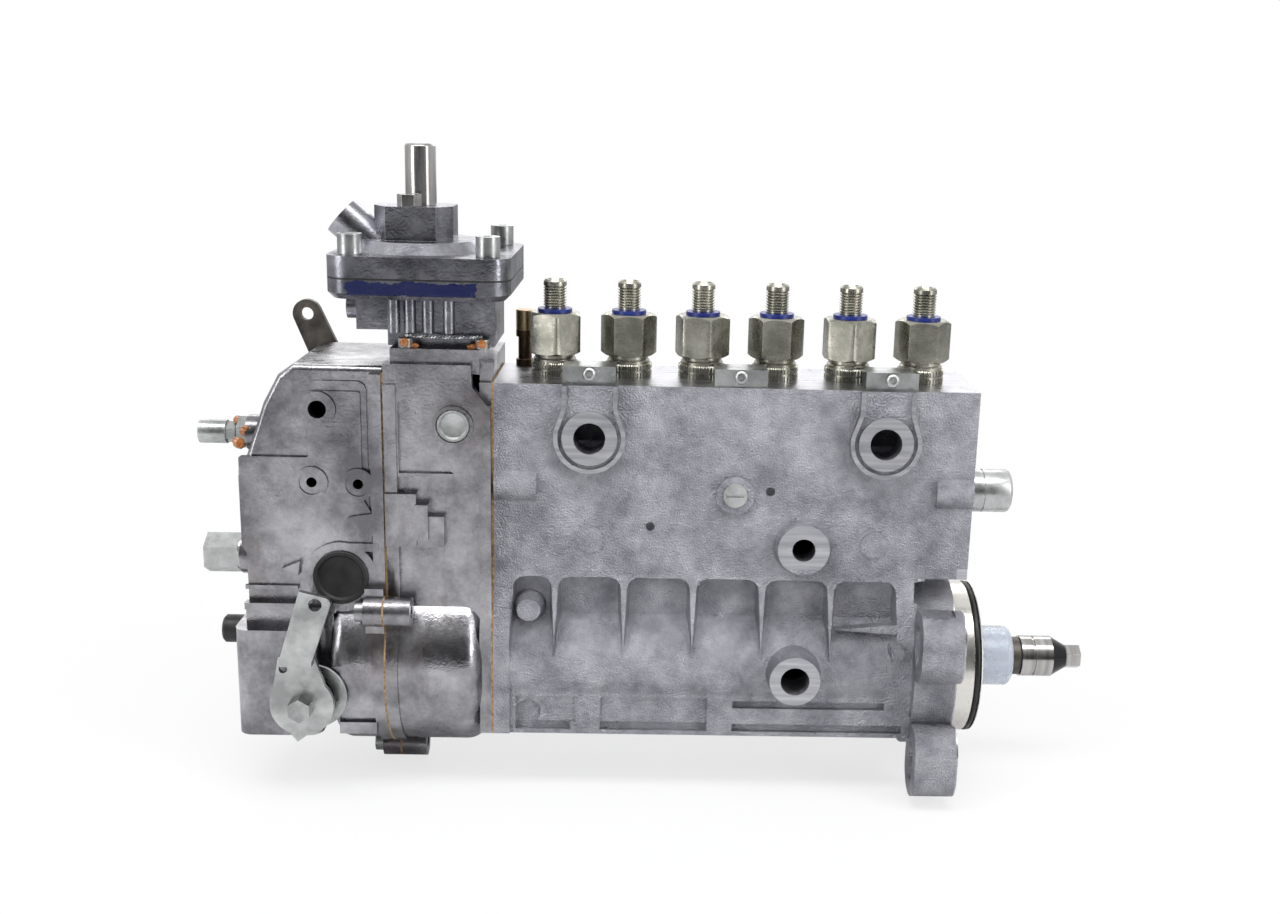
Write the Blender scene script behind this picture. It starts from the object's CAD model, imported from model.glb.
import math

import bpy
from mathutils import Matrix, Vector


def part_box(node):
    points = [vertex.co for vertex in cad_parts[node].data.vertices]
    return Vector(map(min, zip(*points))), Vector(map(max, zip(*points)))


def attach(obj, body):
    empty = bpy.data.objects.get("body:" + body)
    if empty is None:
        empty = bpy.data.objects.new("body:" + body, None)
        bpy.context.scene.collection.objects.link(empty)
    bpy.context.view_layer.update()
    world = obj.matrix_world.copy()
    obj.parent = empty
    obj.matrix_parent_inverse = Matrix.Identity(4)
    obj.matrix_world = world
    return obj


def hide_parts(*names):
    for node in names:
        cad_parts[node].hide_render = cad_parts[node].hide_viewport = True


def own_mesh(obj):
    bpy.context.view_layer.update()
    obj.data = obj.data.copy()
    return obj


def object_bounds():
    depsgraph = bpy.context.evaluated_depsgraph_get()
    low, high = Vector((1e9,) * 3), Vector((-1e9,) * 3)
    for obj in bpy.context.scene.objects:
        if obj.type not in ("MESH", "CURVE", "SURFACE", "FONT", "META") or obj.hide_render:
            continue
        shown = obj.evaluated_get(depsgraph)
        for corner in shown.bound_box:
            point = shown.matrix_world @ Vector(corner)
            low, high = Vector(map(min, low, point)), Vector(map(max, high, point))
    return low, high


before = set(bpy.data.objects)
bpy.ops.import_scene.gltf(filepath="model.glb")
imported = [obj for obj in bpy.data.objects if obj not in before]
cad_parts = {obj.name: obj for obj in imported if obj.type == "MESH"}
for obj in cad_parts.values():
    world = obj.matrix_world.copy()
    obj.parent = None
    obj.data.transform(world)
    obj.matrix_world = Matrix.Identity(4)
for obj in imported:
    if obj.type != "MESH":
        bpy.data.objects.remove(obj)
cad_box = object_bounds()
bpy.ops.object.select_all(action="DESELECT")


# Studio. A white table that keeps a faint shadow under the pump, a white wall all round that is dim
# on the photographer's side, as metal shows it, and large soft lamps above, left, right and behind.

table_z = cad_box[0].z
table_middle = -0.15
table_gap = 0.0002
table_side = 9
shadow_from = 0.12
shadow_to = 0.42
wall_dim = 0.06
room_level = 0.3
bpy.ops.mesh.primitive_plane_add(size=1, location=(table_middle, 0, table_z - table_gap))
table = bpy.context.object
table.name = "table"
table.scale = (table_side, table_side, 1)
bpy.ops.object.transform_apply(location=True, rotation=True, scale=True)

table_paint = bpy.data.materials.new("table_paint")
table_paint.use_nodes = True
nodes = table_paint.node_tree.nodes
links = table_paint.node_tree.links
paint = nodes["Principled BSDF"]
paint.inputs["Base Color"].default_value = (0.92, 0.92, 0.92, 1)
paint.inputs["Roughness"].default_value = 0.8
white_card = nodes.new("ShaderNodeEmission")
white_card.inputs["Color"].default_value = (1, 1, 1, 1)
white_card.inputs["Strength"].default_value = 1.0
path_kind = nodes.new("ShaderNodeLightPath")
spot = nodes.new("ShaderNodeTexCoord")
from_pump = nodes.new("ShaderNodeVectorMath")
from_pump.operation = "DISTANCE"
from_pump.inputs[1].default_value = (table_middle, 0, table_z)
fade = nodes.new("ShaderNodeMapRange")
fade.inputs["From Min"].default_value = shadow_from
fade.inputs["From Max"].default_value = shadow_to
fade.inputs["To Min"].default_value = 0.7
fade.inputs["To Max"].default_value = 1.0
seen = nodes.new("ShaderNodeMath")
seen.operation = "MULTIPLY"
blend = nodes.new("ShaderNodeMixShader")
links.new(spot.outputs["Object"], from_pump.inputs[0])
links.new(from_pump.outputs["Value"], fade.inputs["Value"])
links.new(fade.outputs[0], seen.inputs[0])
links.new(path_kind.outputs["Is Camera Ray"], seen.inputs[1])
links.new(seen.outputs[0], blend.inputs[0])
links.new(paint.outputs[0], blend.inputs[1])
links.new(white_card.outputs[0], blend.inputs[2])
links.new(blend.outputs[0], nodes["Material Output"].inputs["Surface"])
table.data.materials.append(table_paint)

studio = bpy.data.worlds.new("studio")
bpy.context.scene.world = studio
studio.use_nodes = True
nodes = studio.node_tree.nodes
links = studio.node_tree.links
nodes.clear()
path_kind = nodes.new("ShaderNodeLightPath")
room_light = nodes.new("ShaderNodeBackground")
room_light.inputs["Color"].default_value = (0.93, 0.95, 1, 1)
room_light.inputs["Strength"].default_value = room_level
white_wall = nodes.new("ShaderNodeBackground")
white_wall.inputs["Color"].default_value = (1, 1, 1, 1)
way = nodes.new("ShaderNodeTexCoord")
way_parts = nodes.new("ShaderNodeSeparateXYZ")
dim_front = nodes.new("ShaderNodeMapRange")
dim_front.inputs["From Min"].default_value = -0.95
dim_front.inputs["From Max"].default_value = -0.25
dim_front.inputs["To Min"].default_value = wall_dim
dim_front.inputs["To Max"].default_value = 1.0
wall_level = nodes.new("ShaderNodeMath")
wall_level.operation = "MAXIMUM"
links.new(way.outputs["Generated"], way_parts.inputs[0])
links.new(way_parts.outputs["Y"], dim_front.inputs["Value"])
links.new(dim_front.outputs[0], wall_level.inputs[0])
links.new(path_kind.outputs["Is Camera Ray"], wall_level.inputs[1])
links.new(wall_level.outputs[0], white_wall.inputs["Strength"])
pick = nodes.new("ShaderNodeMixShader")
world_out = nodes.new("ShaderNodeOutputWorld")
straight = nodes.new("ShaderNodeMath")
straight.operation = "MAXIMUM"
mirrored = nodes.new("ShaderNodeMath")
mirrored.operation = "MAXIMUM"
links.new(path_kind.outputs["Is Camera Ray"], straight.inputs[0])
links.new(path_kind.outputs["Is Glossy Ray"], straight.inputs[1])
links.new(straight.outputs[0], mirrored.inputs[0])
links.new(path_kind.outputs["Is Transmission Ray"], mirrored.inputs[1])
links.new(mirrored.outputs[0], pick.inputs[0])
links.new(room_light.outputs[0], pick.inputs[1])
links.new(white_wall.outputs[0], pick.inputs[2])
links.new(pick.outputs[0], world_out.inputs["Surface"])

for name, place, aim, size, power in (
    ("lamp_above", (-0.15, -0.35, 1.0), (-0.15, 0, 0.05), (1.4, 0.35), 9),
    ("lamp_left", (-1.1, -0.7, 0.4), (-0.2, 0, 0.06), (0.35, 0.9), 5),
    ("lamp_right", (0.85, -0.65, 0.45), (-0.1, 0, 0.06), (0.35, 0.9), 5),
    ("lamp_back", (-0.1, 0.95, 0.65), (-0.15, 0, 0.08), (1.2, 0.4), 4),
):
    bpy.ops.object.light_add(type="AREA", location=place)
    lamp = bpy.context.object
    lamp.name = name
    lamp.data.shape = "RECTANGLE"
    lamp.data.size, lamp.data.size_y = size
    lamp.data.energy = power
    reach = [a - b for a, b in zip(aim, place)]
    flat = math.hypot(reach[0], reach[1])
    lamp.rotation_euler = (math.atan2(flat, -reach[2]), 0, math.atan2(-reach[0], reach[1]))

bpy.ops.object.camera_add(
    location=(-0.13645, -0.61191, 0.24188),
    rotation=(math.radians(75.964), math.radians(-1.489), math.radians(-1.2396)),
)
camera = bpy.context.object
camera.name = "photo_camera"
camera.data.sensor_width = 36
camera.data.lens = 39.932
camera.data.shift_x = -0.03587
camera.data.shift_y = 0.0041
camera.data.clip_start = 0.01
bpy.context.scene.camera = camera
bpy.context.scene.view_settings.view_transform = "Standard"


# Pump housing. One sand-cast aluminium block, with a grain of about a millimetre where the sand lay
# and brighter milled faces on the deck, the port rims and the flange. Its edges are cast round.

weld_gap = 0.000005


def plain_finish(name, colour, roughness, metallic):
    """Starts a material and gives back its node tree and shader."""
    finish = bpy.data.materials.new(name)
    finish.use_nodes = True
    tree = finish.node_tree
    surface = tree.nodes["Principled BSDF"]
    surface.inputs["Base Color"].default_value = (*colour, 1)
    surface.inputs["Roughness"].default_value = roughness
    surface.inputs["Metallic"].default_value = metallic
    return finish, tree, surface


def grain(tree, scale, detail=4, roughness=0.6, stretch=(1, 1, 1)):
    """Noise in the object's own space, so it stays on the surface."""
    place = tree.nodes.new("ShaderNodeTexCoord")
    turn = tree.nodes.new("ShaderNodeMapping")
    turn.inputs["Scale"].default_value = stretch
    noise = tree.nodes.new("ShaderNodeTexNoise")
    noise.inputs["Scale"].default_value = scale
    noise.inputs["Detail"].default_value = detail
    noise.inputs["Roughness"].default_value = roughness
    tree.links.new(place.outputs["Object"], turn.inputs["Vector"])
    tree.links.new(turn.outputs["Vector"], noise.inputs["Vector"])
    return noise.outputs["Fac"]


def spread(tree, factor, low, high, start=0.3, end=0.7):
    """Stretches a pattern to run from one value to another."""
    stretch = tree.nodes.new("ShaderNodeMapRange")
    stretch.inputs["From Min"].default_value = start
    stretch.inputs["From Max"].default_value = end
    stretch.inputs["To Min"].default_value = low
    stretch.inputs["To Max"].default_value = high
    tree.links.new(factor, stretch.inputs["Value"])
    return stretch.outputs[0]


def reckon(tree, operation, first, second):
    """Works one step out from two patterns, or from a pattern and a number."""
    step = tree.nodes.new("ShaderNodeMath")
    step.operation = operation
    for socket, value in zip(step.inputs, (first, second)):
        if isinstance(value, (int, float)):
            socket.default_value = value
        else:
            tree.links.new(value, socket)
    return step.outputs[0]


def shades(tree, factor, dark, light, low=0.35, high=0.65):
    """Two tones that follow a pattern."""
    ramp = tree.nodes.new("ShaderNodeValToRGB")
    ramp.color_ramp.elements[0].position = low
    ramp.color_ramp.elements[1].position = high
    ramp.color_ramp.elements[0].color = (*dark, 1)
    ramp.color_ramp.elements[1].color = (*light, 1)
    tree.links.new(factor, ramp.inputs[0])
    return ramp.outputs[0]


def two_colours(tree, factor, first, second):
    """Goes from the first colour to the second where the pattern is high. Each is a socket or a colour."""
    mix = tree.nodes.new("ShaderNodeMix")
    mix.data_type = "RGBA"
    tree.links.new(factor, mix.inputs[0])
    for socket, colour in zip((mix.inputs[6], mix.inputs[7]), (first, second)):
        if isinstance(colour, tuple):
            socket.default_value = (*colour, 1)
        else:
            tree.links.new(colour, socket)
    return mix.outputs[2]


def relief(tree, factor, surface, depth, strength=1.0, under=None):
    """Height pattern, laid over another one where given."""
    bump = tree.nodes.new("ShaderNodeBump")
    bump.inputs["Distance"].default_value = depth
    bump.inputs["Strength"].default_value = strength
    tree.links.new(factor, bump.inputs["Height"])
    if under:
        tree.links.new(under.outputs[0], bump.inputs["Normal"])
    tree.links.new(bump.outputs[0], surface.inputs["Normal"])
    return bump


def along(tree, axis):
    """One of the object's own coordinates, in metres."""
    place = tree.nodes.new("ShaderNodeTexCoord")
    parts = tree.nodes.new("ShaderNodeSeparateXYZ")
    tree.links.new(place.outputs["Object"], parts.inputs[0])
    return parts.outputs[axis]


def where(tree, *tests):
    """Pattern that is 1 where all the tests hold. A test is a pattern, a comparison and a limit."""
    held = None
    for pattern, comparison, limit in tests:
        passed = reckon(tree, comparison, pattern, limit)
        held = reckon(tree, "MULTIPLY", held, passed) if held else passed
    return held


def dress(node, finish):
    """Gives a carried-over piece its finish."""
    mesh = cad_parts[node].data
    mesh.materials.clear()
    mesh.materials.append(finish)


def round_edges(node, width, steps=2, angle=28):
    """Rounds the edges of a carried-over piece with live modifiers, which leave its mesh alone."""
    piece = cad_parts[node]
    weld = piece.modifiers.new("weld", "WELD")
    weld.merge_threshold = weld_gap
    flat = piece.modifiers.new("flat", "DECIMATE")
    flat.decimate_type = "DISSOLVE"
    flat.angle_limit = math.radians(0.4)
    edge = piece.modifiers.new("edge", "BEVEL")
    edge.width = width
    edge.segments = steps
    edge.limit_method = "ANGLE"
    edge.angle_limit = math.radians(angle)
    edge.use_clamp_overlap = True
    level = piece.modifiers.new("level", "WEIGHTED_NORMAL")
    level.weight = 100
    for face in piece.data.polygons:
        face.use_smooth = True


sand_cast, tree, surface = plain_finish("sand_cast_aluminium", (0.5, 0.5, 0.54), 0.42, 1.0)
deck_face = 0.12785
flange_face = -0.0006
flange_top = 0.05
oil_boss_face = -0.0416
oil_boss_end = -0.03
port_face = -0.0294
milled = where(tree, (along(tree, "Z"), "GREATER_THAN", deck_face))
flange = where(tree, (along(tree, "X"), "GREATER_THAN", flange_face),
               (along(tree, "Z"), "LESS_THAN", flange_top))
oil_boss = where(tree, (along(tree, "Y"), "LESS_THAN", oil_boss_face),
                 (along(tree, "X"), "LESS_THAN", oil_boss_end))
port_rim = where(tree, (along(tree, "Y"), "LESS_THAN", port_face),
                 (along(tree, "Z"), "GREATER_THAN", flange_top))
for face in (flange, oil_boss, port_rim):
    milled = reckon(tree, "MAXIMUM", milled, face)
raw = reckon(tree, "SUBTRACT", 1.0, milled)
cast_tone = shades(tree, grain(tree, 60, 6, 0.7), (0.20, 0.20, 0.225), (0.40, 0.40, 0.435))
mill_tone = shades(tree, grain(tree, 500, 3, 0.6, (0.06, 1, 1)), (0.34, 0.34, 0.37), (0.52, 0.52, 0.54))
tree.links.new(two_colours(tree, milled, cast_tone, mill_tone), surface.inputs["Base Color"])
tree.links.new(spread(tree, grain(tree, 160, 3), 0.26, 0.42), surface.inputs["Roughness"])
wave = relief(tree, grain(tree, 120, 2, 0.5), surface, 0.0006, 0.35)
sand = reckon(tree, "MULTIPLY", grain(tree, 1200, 3, 0.65), raw)
relief(tree, sand, surface, 0.0012, 0.9, wave)
dress("pump_housing", sand_cast)
round_edges("pump_housing", 0.0007, 3)


# Governor housing, governor cover and side cover. Pressure die-cast aluminium, smoother and darker
# than the pump housing, with flow marks and brown oil stains. They are screwed to the housing.

die_cast, tree, surface = plain_finish("die_cast_aluminium", (0.42, 0.41, 0.44), 0.32, 1.0)
cast_tone = shades(tree, grain(tree, 26, 7, 0.7), (0.16, 0.157, 0.168), (0.46, 0.455, 0.475), 0.38, 0.64)
stain = spread(tree, grain(tree, 38, 5, 0.65, (1, 1, 0.5)), 0, 0.55, 0.56, 0.70)
tree.links.new(two_colours(tree, stain, cast_tone, (0.13, 0.105, 0.09)), surface.inputs["Base Color"])
tree.links.new(spread(tree, grain(tree, 75, 4, 0.6, (1, 1, 0.3)), 0.16, 0.36), surface.inputs["Roughness"])
ripple = relief(tree, grain(tree, 55, 2, 0.5, (1, 1, 0.6)), surface, 0.0020, 0.4)
relief(tree, grain(tree, 800, 2), surface, 0.0002, 0.5, ripple)
for node in ("governor_housing", "governor_cover", "side_cover"):
    dress(node, die_cast)
    round_edges(node, 0.0009, 3)


# Boost compensator body and cover. Die-cast like the governor and screwed together at four corners,
# with a band of blue marking paint brushed across the front of the lower flange.

band_low = 0.1643
band_high = 0.1705
band_front = -0.0368
band_left = -0.2585
band_right = -0.2068
band_ragged = 0.0012
paint_blue = (0.004, 0.008, 0.055)
painted_cast, tree, surface = plain_finish("die_cast_with_blue_band", (0.42, 0.41, 0.44), 0.32, 1.0)
cast_tone = shades(tree, grain(tree, 26, 7, 0.7), (0.12, 0.12, 0.14), (0.36, 0.36, 0.39), 0.38, 0.64)
ragged = spread(tree, grain(tree, 160, 3), -band_ragged, band_ragged)
height = reckon(tree, "ADD", along(tree, "Z"), ragged)
reach = reckon(tree, "ADD", along(tree, "X"), reckon(tree, "MULTIPLY", ragged, 2.0))
band = where(tree, (height, "GREATER_THAN", band_low), (height, "LESS_THAN", band_high),
             (along(tree, "Y"), "LESS_THAN", band_front),
             (reach, "GREATER_THAN", band_left), (reach, "LESS_THAN", band_right))
tree.links.new(two_colours(tree, band, cast_tone, paint_blue), surface.inputs["Base Color"])
tree.links.new(reckon(tree, "SUBTRACT", 1.0, band), surface.inputs["Metallic"])
tree.links.new(spread(tree, grain(tree, 75, 4), 0.16, 0.36), surface.inputs["Roughness"])
ripple = relief(tree, grain(tree, 60, 2, 0.5), surface, 0.0018, 0.3)
relief(tree, grain(tree, 800, 2), surface, 0.0002, 0.5, ripple)
for node in ("compensator_body", "compensator_cover"):
    dress(node, painted_cast)
    round_edges(node, 0.0008, 3)


# Drive end cover. Aluminium, turned all over, with the fine rings that the tool left round its axis.
# Screws hold it in the drive end of the pump housing.

ring_count = 18000.0
machined, tree, surface = plain_finish("turned_aluminium", (0.68, 0.66, 0.62), 0.25, 1.0)
across = tree.nodes.new("ShaderNodeVectorMath")
across.operation = "MULTIPLY"
across.inputs[1].default_value = (0, 1, 1)
spot = tree.nodes.new("ShaderNodeTexCoord")
tree.links.new(spot.outputs["Object"], across.inputs[0])
off_axis = tree.nodes.new("ShaderNodeVectorMath")
off_axis.operation = "LENGTH"
tree.links.new(across.outputs[0], off_axis.inputs[0])
rings = reckon(tree, "SINE", reckon(tree, "MULTIPLY", off_axis.outputs["Value"], ring_count), 0.0)
relief(tree, rings, surface, 0.00003, 0.6)
tree.links.new(spread(tree, grain(tree, 120, 3), 0.2, 0.34), surface.inputs["Roughness"])
dress("drive_end_cover", machined)
round_edges("drive_end_cover", 0.0004)


# Ground and turned steel: camshaft, bearings, rack, pumping elements and governor mechanism, with
# grinding marks along their turning direction. The shaft nut is bright too, with a blackened cone.

ground_steel, tree, surface = plain_finish("ground_steel", (0.56, 0.56, 0.57), 0.22, 1.0)
ground_tone = shades(tree, grain(tree, 50, 4), (0.32, 0.32, 0.33), (0.5, 0.5, 0.51))
tree.links.new(ground_tone, surface.inputs["Base Color"])
grinding = spread(tree, grain(tree, 500, 2, 0.5, (1, 0.08, 0.08)), 0.14, 0.3)
tree.links.new(grinding, surface.inputs["Roughness"])
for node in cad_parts:
    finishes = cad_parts[node].data.materials
    if not finishes or finishes[0].name.startswith("steel"):
        dress(node, ground_steel)
cone_start = 0.0509
cone_end = 0.0579
bright_steel, tree, surface = plain_finish("polished_steel", (0.44, 0.43, 0.42), 0.16, 1.0)
cone = where(tree, (along(tree, "X"), "GREATER_THAN", cone_start),
             (along(tree, "X"), "LESS_THAN", cone_end))
turned_tone = shades(tree, grain(tree, 400, 3, 0.5, (1, 0.05, 0.05)), (0.30, 0.29, 0.28), (0.5, 0.49, 0.48))
tree.links.new(two_colours(tree, cone, turned_tone, (0.03, 0.03, 0.032)), surface.inputs["Base Color"])
turning = spread(tree, grain(tree, 700, 2, 0.5, (1, 0.05, 0.05)), 0.12, 0.26)
tree.links.new(turning, surface.inputs["Roughness"])
for node in ("shaft_nut", "stroke_stop"):
    dress(node, bright_steel)
    round_edges(node, 0.0004)


# Zinc-plated screws, levers, plates and caps. Bright plate over rolled or turned steel, grey with a
# trace of green, and cloudy from the bath.

zinc_plate, tree, surface = plain_finish("bright_zinc_plate", (0.74, 0.76, 0.74), 0.3, 1.0)
zinc_tone = shades(tree, grain(tree, 70, 5), (0.30, 0.31, 0.305), (0.53, 0.54, 0.535), 0.38, 0.62)
tree.links.new(zinc_tone, surface.inputs["Base Color"])
tree.links.new(spread(tree, grain(tree, 220, 4), 0.24, 0.42), surface.inputs["Roughness"])
relief(tree, grain(tree, 900, 2), surface, 0.00005, 0.6)
for node in ("housing_screws", "rack_end_cap", "rack_guide_screw", "clamp_plates", "clamp_screws",
             "feed_pump_blank", "core_plug", "full_load_stop", "idle_spring_cap", "governor_screws",
             "speed_lever_shaft", "lever_disc", "speed_lever", "compensator_screws"):
    dress(node, zinc_plate)
    round_edges(node, 0.0003)


# Stop lever and shaft spacer. Steel with a black phosphate coat, browned by oil where it is thin.

dark_steel, tree, surface = plain_finish("phosphated_steel", (0.09, 0.08, 0.075), 0.5, 0.7)
dark_tone = shades(tree, grain(tree, 90, 5), (0.035, 0.032, 0.03), (0.13, 0.115, 0.10))
tree.links.new(dark_tone, surface.inputs["Base Color"])
tree.links.new(spread(tree, grain(tree, 300, 3), 0.35, 0.6), surface.inputs["Roughness"])
relief(tree, grain(tree, 1200, 2), surface, 0.0001, 0.5)
for node in ("stop_lever", "shaft_spacer"):
    dress(node, dark_steel)
    round_edges(node, 0.0004)


# Rubber parts: inspection plug, shaft cap, pilot ring, shaft seal and diaphragm. Black moulded
# rubber with a dusty bloom.

rubber, tree, surface = plain_finish("black_rubber", (0.012, 0.012, 0.013), 0.45, 0.0)
rubber_tone = shades(tree, grain(tree, 120, 4), (0.003, 0.003, 0.0035), (0.014, 0.0135, 0.013))
tree.links.new(rubber_tone, surface.inputs["Base Color"])
tree.links.new(spread(tree, grain(tree, 200, 3), 0.35, 0.6), surface.inputs["Roughness"])
relief(tree, grain(tree, 1500, 2), surface, 0.00006, 0.6)
for node in ("rubber_plug", "shaft_cap", "pilot_o_ring", "shaft_seal", "diaphragm"):
    dress(node, rubber)


# Gaskets. Brown fibre paper, cut to the joint faces and squeezed between the castings, so that only
# its edge shows.

paper, tree, surface = plain_finish("gasket_paper", (0.30, 0.19, 0.09), 0.8, 0.0)
paper_tone = shades(tree, grain(tree, 700, 3), (0.17, 0.10, 0.045), (0.42, 0.27, 0.12))
tree.links.new(paper_tone, surface.inputs["Base Color"])
for node in ("governor_gaskets", "side_gaskets"):
    dress(node, paper)


# Transport sleeve. A milky, half clear plastic cup that keeps the shaft taper clean until the pump
# is fitted.

milky, tree, surface = plain_finish("milky_plastic", (0.80, 0.86, 0.95), 0.3, 0.0)
surface.inputs["Transmission Weight"].default_value = 0.55
surface.inputs["IOR"].default_value = 1.45
tree.links.new(spread(tree, grain(tree, 150, 3), 0.18, 0.34), surface.inputs["Roughness"])
dress("transport_sleeve", milky)
round_edges("transport_sleeve", 0.0005, 3)


# Vent fitting. A small turned brass fitting, browned over its lower half, which is screwed into the
# deck behind the first valve holder.

browned_below = 0.144
brass, tree, surface = plain_finish("brass", (0.6, 0.45, 0.22), 0.3, 1.0)
low_half = where(tree, (along(tree, "Z"), "LESS_THAN", browned_below))
brass_tone = shades(tree, grain(tree, 90, 4), (0.40, 0.30, 0.17), (0.58, 0.47, 0.30))
tree.links.new(two_colours(tree, low_half, brass_tone, (0.10, 0.065, 0.04)), surface.inputs["Base Color"])
tree.links.new(spread(tree, grain(tree, 200, 3), 0.25, 0.4), surface.inputs["Roughness"])
dress("vent_fitting", brass)
round_edges("vent_fitting", 0.0003)


# Valve holders. Turned steel in a thin yellow zinc chromate with a pink tint, screwed into the deck: a
# knurled collar in two tiers, a hexagon with chamfered ends, and a threaded nose for the pipe.

holder_x = [-0.1775 + 0.032 * place for place in range(6)]
deck_height = 0.128
hexagon_across = 0.021
hexagon_low = 0.137
hexagon_high = 0.155
barrel_r = 0.0121
collar_r = 0.0102
neck_r = 0.0092
shoulder_r = 0.0064
nose_r = 0.005
nose_top = 0.169
holder_turns = (8, 30, 14, 27, 3, 22)
thread_pitch = 0.0012
thread_depth = 0.0006
cone_seat_r = 0.0035
fuel_bore_r = 0.0011
knurl_points = 160
knurl_depth = 0.0005


def turned(name, outline, sides=64, teeth=0):
    """Turned piece about the upright axis: a disc pushed up and resized ring by ring.
    outline holds heights and radii, and teeth is how deep every second point of the rim is cut."""
    bpy.ops.object.select_all(action="DESELECT")
    height, radius = outline[0]
    bpy.ops.mesh.primitive_circle_add(vertices=sides, radius=radius, fill_type="NGON",
                                      location=(0, 0, height))
    piece = bpy.context.object
    piece.name = name
    if teeth:
        for corner in piece.data.vertices:
            if corner.index % 4 in (0, 1):
                corner.co.xy *= 1 - teeth / radius
    bpy.ops.object.mode_set(mode="EDIT")
    bpy.ops.mesh.select_all(action="SELECT")
    for next_height, next_radius in outline[1:]:
        bpy.ops.mesh.extrude_region_move(TRANSFORM_OT_translate={"value": (0, 0, next_height - height)})
        size = next_radius / radius
        if size != 1:
            bpy.ops.transform.resize(value=(size, size, 1), center_override=(0, 0, next_height))
        height, radius = next_height, next_radius
    bpy.ops.mesh.select_all(action="SELECT")
    bpy.ops.mesh.normals_make_consistent(inside=False)
    bpy.ops.object.mode_set(mode="OBJECT")
    bpy.ops.object.transform_apply(location=True, rotation=True, scale=True)
    return piece


def threads(low, high, radius, pitch, depth):
    """Outline of a thread, ridge by ridge."""
    outline = []
    for ridge in range(int((high - low) / pitch)):
        start = low + ridge * pitch
        outline += [(start + 0.0001, radius - depth), (start + pitch * 0.45, radius),
                    (start + pitch * 0.65, radius)]
    return outline


def cut_to(piece, tool):
    """Keeps what lies in both solids."""
    bpy.ops.object.select_all(action="DESELECT")
    bpy.context.view_layer.objects.active = piece
    cut = piece.modifiers.new("cut", "BOOLEAN")
    cut.operation = "INTERSECT"
    cut.object = tool
    cut.solver = "EXACT"
    bpy.ops.object.modifier_apply(modifier="cut")
    bpy.data.objects.remove(tool)


def joined(name, *parts):
    """Makes one mesh of several."""
    bpy.ops.object.select_all(action="DESELECT")
    for part in parts:
        part.select_set(True)
    bpy.context.view_layer.objects.active = parts[0]
    bpy.ops.object.join()
    parts[0].name = name
    return parts[0]


def settle(piece, place=(0, 0, 0), turn=(0, 0, 0), smooth=30):
    """Puts a piece in place, with that place in its mesh, and smooths its round faces."""
    bpy.ops.object.select_all(action="DESELECT")
    piece.select_set(True)
    bpy.context.view_layer.objects.active = piece
    piece.location = place
    piece.rotation_euler = [math.radians(angle) for angle in turn]
    bpy.ops.object.transform_apply(location=True, rotation=True, scale=True)
    bpy.ops.object.shade_smooth_by_angle(angle=math.radians(smooth))
    return piece


chromate, tree, surface = plain_finish("yellow_chromate_zinc", (0.55, 0.54, 0.42), 0.3, 1.0)
chromate_tone = shades(tree, grain(tree, 60, 5), (0.21, 0.21, 0.175), (0.41, 0.40, 0.345), 0.36, 0.62)
rosy = spread(tree, grain(tree, 110, 3), 0, 0.35, 0.55, 0.7)
tree.links.new(two_colours(tree, rosy, chromate_tone, (0.36, 0.30, 0.285)), surface.inputs["Base Color"])
tree.links.new(spread(tree, grain(tree, 260, 3), 0.2, 0.36), surface.inputs["Roughness"])
relief(tree, grain(tree, 900, 2, 0.5, (0.2, 0.2, 1)), surface, 0.00006, 0.5)

corner_r = hexagon_across / 2 / math.cos(math.pi / 6)
hexagon = turned("hexagon", [(hexagon_low - 0.001, corner_r), (hexagon_high + 0.001, corner_r)], 6)
barrel = turned("barrel", [(hexagon_low, 0.0102), (hexagon_low + 0.0012, barrel_r),
                           (hexagon_high - 0.0014, barrel_r), (hexagon_high, 0.0100)], 72)
cut_to(hexagon, barrel)
collar = [(deck_height - 0.009, collar_r - 0.0004), (deck_height, collar_r),
          (deck_height + 0.0022, collar_r)]
upper_collar = [(deck_height + 0.0029, collar_r - 0.0002), (deck_height + 0.0036, collar_r),
                (deck_height + 0.0052, collar_r), (deck_height + 0.0058, collar_r - 0.0005)]
lower_knurl = turned("lower_knurl", collar, knurl_points, knurl_depth)
upper_knurl = turned("upper_knurl", upper_collar, knurl_points, knurl_depth)
neck = turned("neck", [(deck_height, neck_r), (hexagon_low - 0.0022, neck_r),
                       (hexagon_low - 0.0014, neck_r - 0.0006), (hexagon_low + 0.0004, neck_r - 0.0006)], 64)
nose_foot = [(hexagon_high - 0.002, shoulder_r), (hexagon_high + 0.0005, shoulder_r),
             (hexagon_high + 0.0006, nose_r - thread_depth), (hexagon_high + 0.0022, nose_r - thread_depth)]
nose_thread = threads(hexagon_high + 0.0024, nose_top - 0.0012, nose_r, thread_pitch, thread_depth)
nose_end = [(nose_top - 0.0009, nose_r - 0.0001), (nose_top, nose_r - 0.0009), (nose_top, cone_seat_r),
            (nose_top - 0.0035, fuel_bore_r), (nose_top - 0.012, fuel_bore_r)]
nose = turned("nose", nose_foot + nose_thread + nose_end, 48)
holder = joined("valve_holder_1", hexagon, lower_knurl, upper_knurl, neck, nose)
holder.data.materials.append(chromate)
for count, (x, turn) in enumerate(zip(holder_x, holder_turns), start=1):
    bpy.ops.object.select_all(action="DESELECT")
    fresh = bpy.data.objects.new(f"valve_holder_{count}", holder.data.copy())
    bpy.context.collection.objects.link(fresh)
    settle(fresh, (x, 0, 0), (0, 0, turn))
    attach(fresh, "pump_body")
    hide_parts("valve_holders")
bpy.data.objects.remove(holder)


# Sealing rings under the pipe nuts. Thin moulded washers dyed blue, slipped over each threaded nose
# down to its foot.

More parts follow.
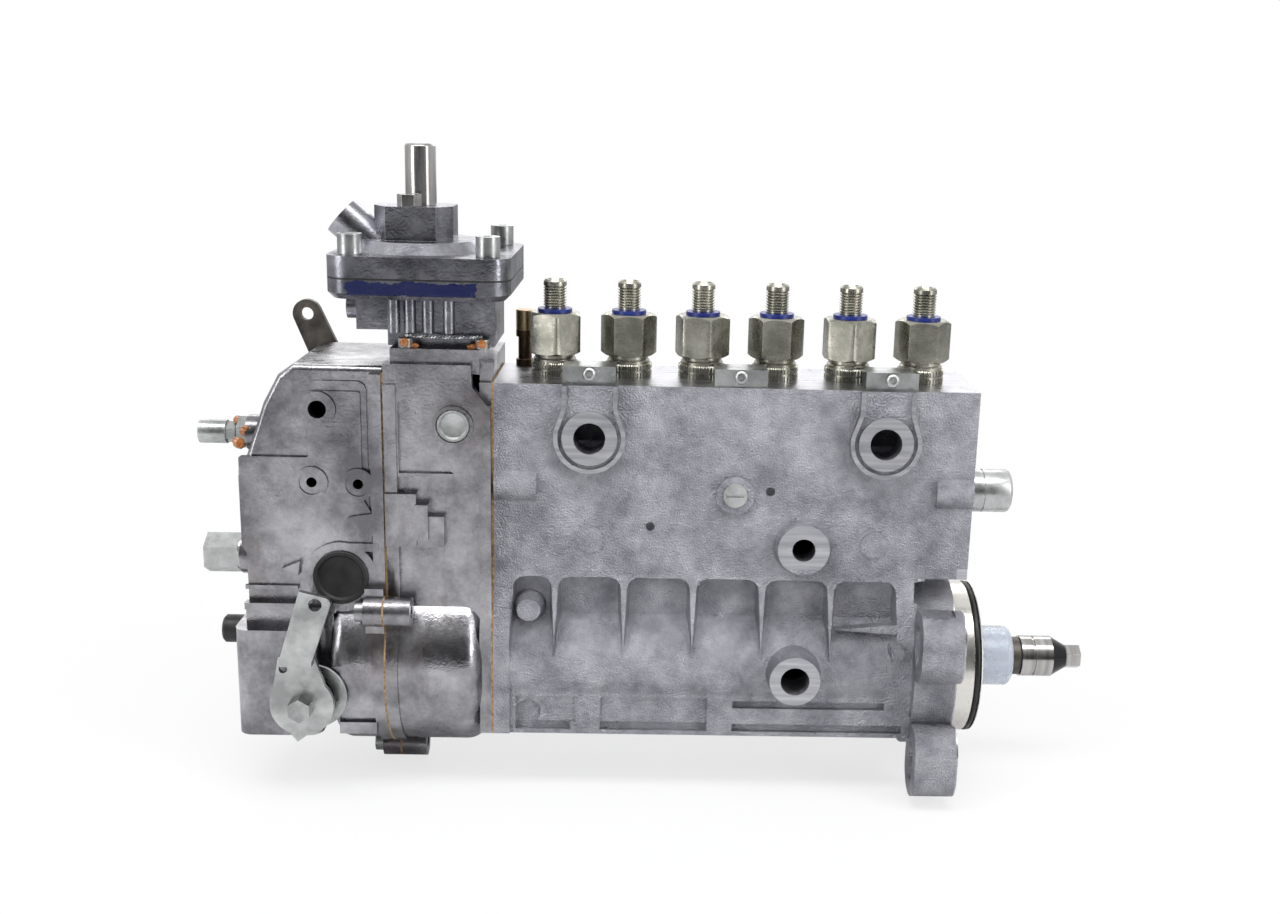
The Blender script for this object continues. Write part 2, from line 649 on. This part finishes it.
blue_ring, tree, surface = plain_finish("blue_ring", (0.02, 0.05, 0.4), 0.35, 0.0)
ring_tone = shades(tree, grain(tree, 300, 3), (0.006, 0.014, 0.13), (0.014, 0.032, 0.24))
tree.links.new(ring_tone, surface.inputs["Base Color"])
dress("seal_rings", blue_ring)


# Clamp screws. Small steel pan heads with a round recess, zinc plated. One holds each clamp plate to
# the housing between two valve holders.

clamp_screw_x = [-0.1615 + 0.064 * place for place in range(3)]
clamp_screw_y = -0.0245
clamp_screw_z = 0.1322
recess_r = 0.0012
head = turned("clamp_screw", [(0.0001, 0.0029), (0.0008, 0.0030), (0.0015, 0.0025), (0.0019, 0.0017),
                              (0.0019, recess_r), (0.0011, recess_r - 0.0002)], 40)
head.data.materials.append(zinc_plate)
for count, x in enumerate(clamp_screw_x, start=1):
    fresh = bpy.data.objects.new(f"clamp_screw_{count}", head.data.copy())
    bpy.context.collection.objects.link(fresh)
    settle(fresh, (x, clamp_screw_y, clamp_screw_z), (90, 0, 0))
    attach(fresh, "pump_body")
    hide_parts("clamp_screws")
bpy.data.objects.remove(head)


# Core plug. A cup pressed from zinc-plated steel, driven into the governor housing with its open side
# outwards, so that a bright rim stands round a sunk floor.

cup_height = 0.0030
cup_floor = 0.0013
low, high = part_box("core_plug")
cup_r = (high.x - low.x) / 2
cup = turned("core_plug_cup", [(0, cup_r), (cup_height - 0.0005, cup_r), (cup_height, cup_r - 0.0005),
                               (cup_height, cup_r - 0.0013), (cup_floor + 0.0003, cup_r - 0.0020),
                               (cup_floor, 0.0010)], 72)
cup.data.materials.append(zinc_plate)
settle(cup, ((low.x + high.x) / 2, high.y, (low.z + high.z) / 2), (90, 0, 0))
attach(cup, "pump_body")
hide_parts("core_plug")


# Inspection plug. A black rubber bung with a thick lip, pushed into the governor cover; its middle is
# sunk, so that it can be levered out.

low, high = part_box("rubber_plug")
lip_r = (high.x - low.x) / 2
depth = high.y - low.y
bung = turned("inspection_plug", [(0, lip_r - 0.0008), (depth - 0.0012, lip_r - 0.0008),
                                  (depth - 0.0011, lip_r), (depth - 0.0003, lip_r),
                                  (depth, lip_r - 0.0004), (depth, lip_r - 0.0018),
                                  (depth - 0.0012, lip_r - 0.0026), (depth - 0.0014, 0.0012)], 72)
bung.data.materials.append(rubber)
settle(bung, ((low.x + high.x) / 2, high.y, (low.z + high.z) / 2), (90, 0, 0))
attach(bung, "pump_body")
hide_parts("rubber_plug")


# Rack end cap. A turned steel cap, zinc plated, screwed over the end of the control rack, with a
# groove near its seat and a chamfered end.

groove_start = 0.0040
groove_depth = 0.0004
low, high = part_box("rack_end_cap")
cap_r = (high.z - low.z) / 2
cap_length = high.x - low.x
cap = turned("rack_cap", [(0, cap_r), (groove_start, cap_r), (groove_start + 0.0001, cap_r - groove_depth),
                          (groove_start + 0.0008, cap_r - groove_depth), (groove_start + 0.0009, cap_r),
                          (cap_length - 0.0016, cap_r), (cap_length - 0.0006, cap_r - 0.0005),
                          (cap_length, cap_r - 0.0014), (cap_length, 0.0012)], 72)
cap.data.materials.append(zinc_plate)
settle(cap, (low.x, (low.y + high.y) / 2, (low.z + high.z) / 2), (0, 90, 0))
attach(cap, "pump_body")
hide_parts("rack_end_cap")


# Full-load stop thread. The fine cut thread of the zinc-plated stop screw, which shows between its
# cap and its lock nut.

low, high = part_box("full_load_stop")
stop_y = (low.y + high.y) / 2
stop_z = (low.z + high.z) / 2
stop_thread_x = low.x + 0.0115
stop_thread = turned("full_load_thread", threads(0.0001, 0.0026, 0.0041, 0.0008, 0.0004), 48)
stop_thread.data.materials.append(zinc_plate)
settle(stop_thread, (stop_thread_x, stop_y, stop_z), (0, -90, 0))
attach(stop_thread, "pump_body")


# Lock wire. Two strands of soft drawn steel wire, twisted together by hand between the neck screws
# of the compensator.

wire_r = 0.00033
twist_r = 0.00034
wire_y = -0.024
wire_z = 0.147
wire_ends = (-0.238, -0.206)
wire_sag = 0.0006
wire_turns = 11
wire_steps = 180


def strand(name, places, radius):
    """Round wire through a row of places, made a mesh."""
    path = bpy.data.curves.new(name, "CURVE")
    path.dimensions = "3D"
    path.bevel_depth = radius
    path.bevel_resolution = 2
    path.use_fill_caps = True
    line = path.splines.new("POLY")
    line.points.add(len(places) - 1)
    for point, place in zip(line.points, places):
        point.co = (*place, 1)
    piece = bpy.data.objects.new(name, path)
    bpy.context.collection.objects.link(piece)
    bpy.ops.object.select_all(action="DESELECT")
    piece.select_set(True)
    bpy.context.view_layer.objects.active = piece
    bpy.ops.object.convert(target="MESH")
    return bpy.context.object


for count, start in enumerate((0.0, math.pi), start=1):
    places = []
    for step in range(wire_steps + 1):
        share = step / wire_steps
        x = wire_ends[0] + (wire_ends[1] - wire_ends[0]) * share
        turn = start + share * 2 * math.pi * wire_turns
        sag = -wire_sag * math.sin(math.pi * share)
        y = wire_y + twist_r * math.cos(turn) - 0.0003
        places.append((x, y, wire_z + sag + twist_r * math.sin(turn)))
    wire = strand(f"lock_wire_strand_{count}", places, wire_r)
    wire.data.materials.append(ground_steel)
    settle(wire)
    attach(wire, "pump_body")
    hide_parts("lock_wire")


# Sealing lacquer. Dabs of amber lacquer on the neck screws and on the thread of the full-load stop,
# which show whether a setting was touched after the pump was tested.

lacquer, tree, surface = plain_finish("amber_lacquer", (0.55, 0.22, 0.03), 0.25, 0.0)
lacquer_tone = shades(tree, grain(tree, 500, 3), (0.24, 0.062, 0.010), (0.46, 0.17, 0.035))
tree.links.new(lacquer_tone, surface.inputs["Base Color"])
surface.inputs["Coat Weight"].default_value = 0.5
surface.inputs["Coat Roughness"].default_value = 0.1
lump_size = 0.0016
lump_height = 0.0011
lacquer_dabs = (
    ((-0.2380, -0.0268, 0.1442), (0.0019, 0.0006, 0.0022)),
    ((-0.2352, -0.0247, 0.1428), (0.0030, 0.0012, 0.0012)),
    ((-0.2060, -0.0268, 0.1442), (0.0020, 0.0006, 0.0021)),
    ((-0.2092, -0.0247, 0.1427), (0.0034, 0.0013, 0.0011)),
    ((-0.3050, -0.0262, 0.1050), (0.0029, 0.0011, 0.0026)),
    ((-0.3085, -0.0248, 0.1000), (0.0030, 0.0022, 0.0030)),
    ((-0.3100, -0.0200, 0.1086), (0.0020, 0.0026, 0.0016)),
)
for count, (place, size) in enumerate(lacquer_dabs, start=1):
    bpy.ops.object.select_all(action="DESELECT")
    bpy.ops.mesh.primitive_ico_sphere_add(subdivisions=4, radius=1, location=(0, 0, 0))
    dab = bpy.context.object
    dab.name = f"lacquer_dab_{count}"
    dab.scale = size
    bpy.ops.object.transform_apply(location=False, rotation=False, scale=True)
    lumps = bpy.data.textures.new(f"lumps_{count}", "CLOUDS")
    lumps.noise_scale = lump_size
    swell = dab.modifiers.new("swell", "DISPLACE")
    swell.texture = lumps
    swell.strength = lump_height
    swell.mid_level = 0.55
    bpy.ops.object.modifier_apply(modifier="swell")
    dab.data.materials.append(lacquer)
    settle(dab, place)
    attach(dab, "pump_body")


# Inner springs. Two coils of hard-drawn steel wire, which shorten as their pieces move: the boost
# compensator's under its diaphragm plate, and the governor's between its sleeve and the speed lever.

springs = (
    ("compensator_spring", "boost_pin_slide", (0, 0, 1), 0.0050),
    ("governor_spring", "rack_slide", (1, 0, 0), 0.0026),
)
for node, joint, axis, stroke in springs:
    low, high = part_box(node)
    wire = bpy.data.objects.new(node + "_wire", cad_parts[node].data.copy())
    bpy.context.scene.collection.objects.link(wire)
    bpy.ops.object.select_all(action="DESELECT")
    bpy.context.view_layer.objects.active = wire
    wire.select_set(True)
    bpy.ops.object.mode_set(mode="EDIT")
    bpy.ops.mesh.select_all(action="SELECT")
    bpy.ops.mesh.remove_doubles(threshold=weld_gap)
    bpy.ops.mesh.normals_make_consistent(inside=False)
    bpy.ops.object.mode_set(mode="OBJECT")
    bpy.ops.object.shade_smooth_by_angle(angle=math.radians(35))
    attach(wire, "pump_body")
    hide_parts(node)
    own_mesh(wire)
